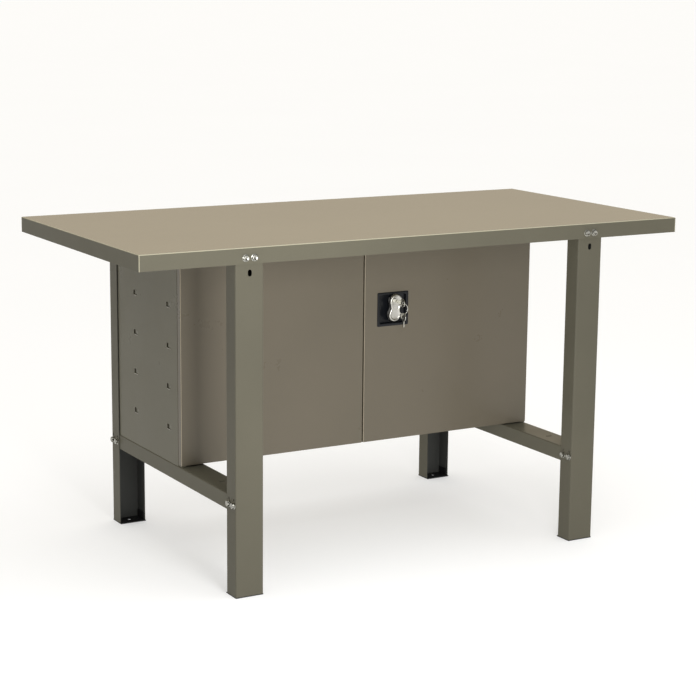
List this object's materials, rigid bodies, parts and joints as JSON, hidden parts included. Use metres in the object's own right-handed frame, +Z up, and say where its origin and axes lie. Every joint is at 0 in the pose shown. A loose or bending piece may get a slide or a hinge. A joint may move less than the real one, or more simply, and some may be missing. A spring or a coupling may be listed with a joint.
{
  "type": "workbench with cabinet",
  "caption": "Steel workbench: folded sheet worktop on channel legs, with side stretchers carrying a lockable cabinet with hinged doors and a shelf.",
  "frame": {"origin": "middle of the bench on the floor", "axes": "+X to the right along the worktop, +Y from the door side to the back, +Z up"},
  "size_m": [1.5, 0.7484, 0.825],
  "materials": {
    "worktop_paint": "glossy powder coat, warm grey",
    "paint": "semi-gloss powder coat, olive grey",
    "dark_paint": "grey primer",
    "foot": "black paint",
    "zinc": "bright zinc plate",
    "handle_metal": "satin nickel plate",
    "key_metal": "nickel plate",
    "lock_plastic": "glossy black moulding",
    "washer_plastic": "black nylon",
    "rubber": "soft black rubber"
  },
  "bodies": {
    "frame": {"worktop": "worktop_paint", "top_rail_front": "dark_paint", "top_rail_rear": "dark_paint", "leg_front_left": "paint", "leg_front_right": "paint", "leg_rear_left": "paint", "leg_rear_right": "paint", "foot_front_left": "foot", "foot_front_right": "foot", "foot_rear_left": "foot", "foot_rear_right": "foot", "stretcher_left": "paint", "stretcher_right": "paint", "cabinet_floor": "paint", "cabinet_roof": "paint", "cabinet_back": "paint", "cabinet_side_left": "paint", "cabinet_side_right": "paint", "shelf": "paint", "door_stop_lower": "paint", "door_stop_upper": "paint", "hinge_bracket_left_lower": "paint", "hinge_bracket_left_upper": "paint", "hinge_bracket_right_lower": "paint", "hinge_bracket_right_upper": "paint", "hinge_pins": "zinc", "hinge_washers": "washer_plastic", "door_bumpers": "rubber", "apron_bolts": "zinc", "apron_nuts": "zinc", "stretcher_bolts": "zinc", "stretcher_nuts": "zinc", "cabinet_bolts": "zinc", "cabinet_nuts": "zinc"},
    "door_left": {"door_left": "paint", "door_stiffener_left": "dark_paint", "bolt_guides": "zinc"},
    "slide_bolt": {"slide_bolt": "zinc"},
    "door_right": {"door_right": "paint", "door_stiffener_right": "dark_paint", "lock_plate": "lock_plastic", "lock_case": "zinc", "rod_guides": "zinc"},
    "rod_upper": {"rod_upper": "zinc"},
    "rod_lower": {"rod_lower": "zinc"},
    "handle": {"turn_handle": "handle_metal", "lock_barrel": "handle_metal", "lock_cam": "zinc", "cam_screw": "zinc"},
    "key": {"barrel_plug": "key_metal", "lock_key": "key_metal"},
    "key_ring": {"key_ring": "key_metal"},
    "spare_key": {"spare_key": "key_metal"}
  },
  "joints": [
    {"name": "left_door_hinge", "type": "hinge", "parent": "frame", "child": "door_left", "pos_m": [-0.507, -0.0545, 0.25], "axis": [0, 0, -1], "range_deg": [0, 74]},
    {"name": "right_door_hinge", "type": "hinge", "parent": "frame", "child": "door_right", "pos_m": [0.507, -0.0545, 0.25], "axis": [0, 0, 1], "range_deg": [0, 74]},
    {"name": "slide_bolt_slide", "type": "slide", "parent": "door_left", "child": "slide_bolt", "axis": [0, 0, 1], "range_m": [0, 0.0184]},
    {"name": "handle_turn", "type": "hinge", "parent": "door_right", "child": "handle", "pos_m": [0.088, -0.0635, 0.612], "axis": [0, -1, 0], "range_deg": [0, 90]},
    {"name": "rod_upper_slide", "type": "slide", "parent": "door_right", "child": "rod_upper", "axis": [0, 0, 1], "range_m": [0, 0.0184]},
    {"name": "rod_lower_slide", "type": "slide", "parent": "door_right", "child": "rod_lower", "axis": [0, 0, -1], "range_m": [0, 0.0184]},
    {"name": "key_turn", "type": "hinge", "parent": "handle", "child": "key", "pos_m": [0.088, -0.08, 0.612], "axis": [0, -1, 0], "range_deg": [0, 90]},
    {"name": "key_ring_swing", "type": "hinge", "parent": "key", "child": "key_ring", "pos_m": [0.088, -0.1125, 0.612], "axis": [0, -1, 0], "range_deg": [-24, 24]},
    {"name": "spare_key_swing", "type": "hinge", "parent": "key_ring", "child": "spare_key", "pos_m": [0.088, -0.1125, 0.582], "axis": [0, -1, 0], "range_deg": [-28, 28]}
  ],
  "couplings": [
    {"joint": "rod_upper_slide", "follows": "handle_turn", "m_per_rad": 0.011704},
    {"joint": "rod_lower_slide", "follows": "handle_turn", "m_per_rad": 0.011704}
  ]
}
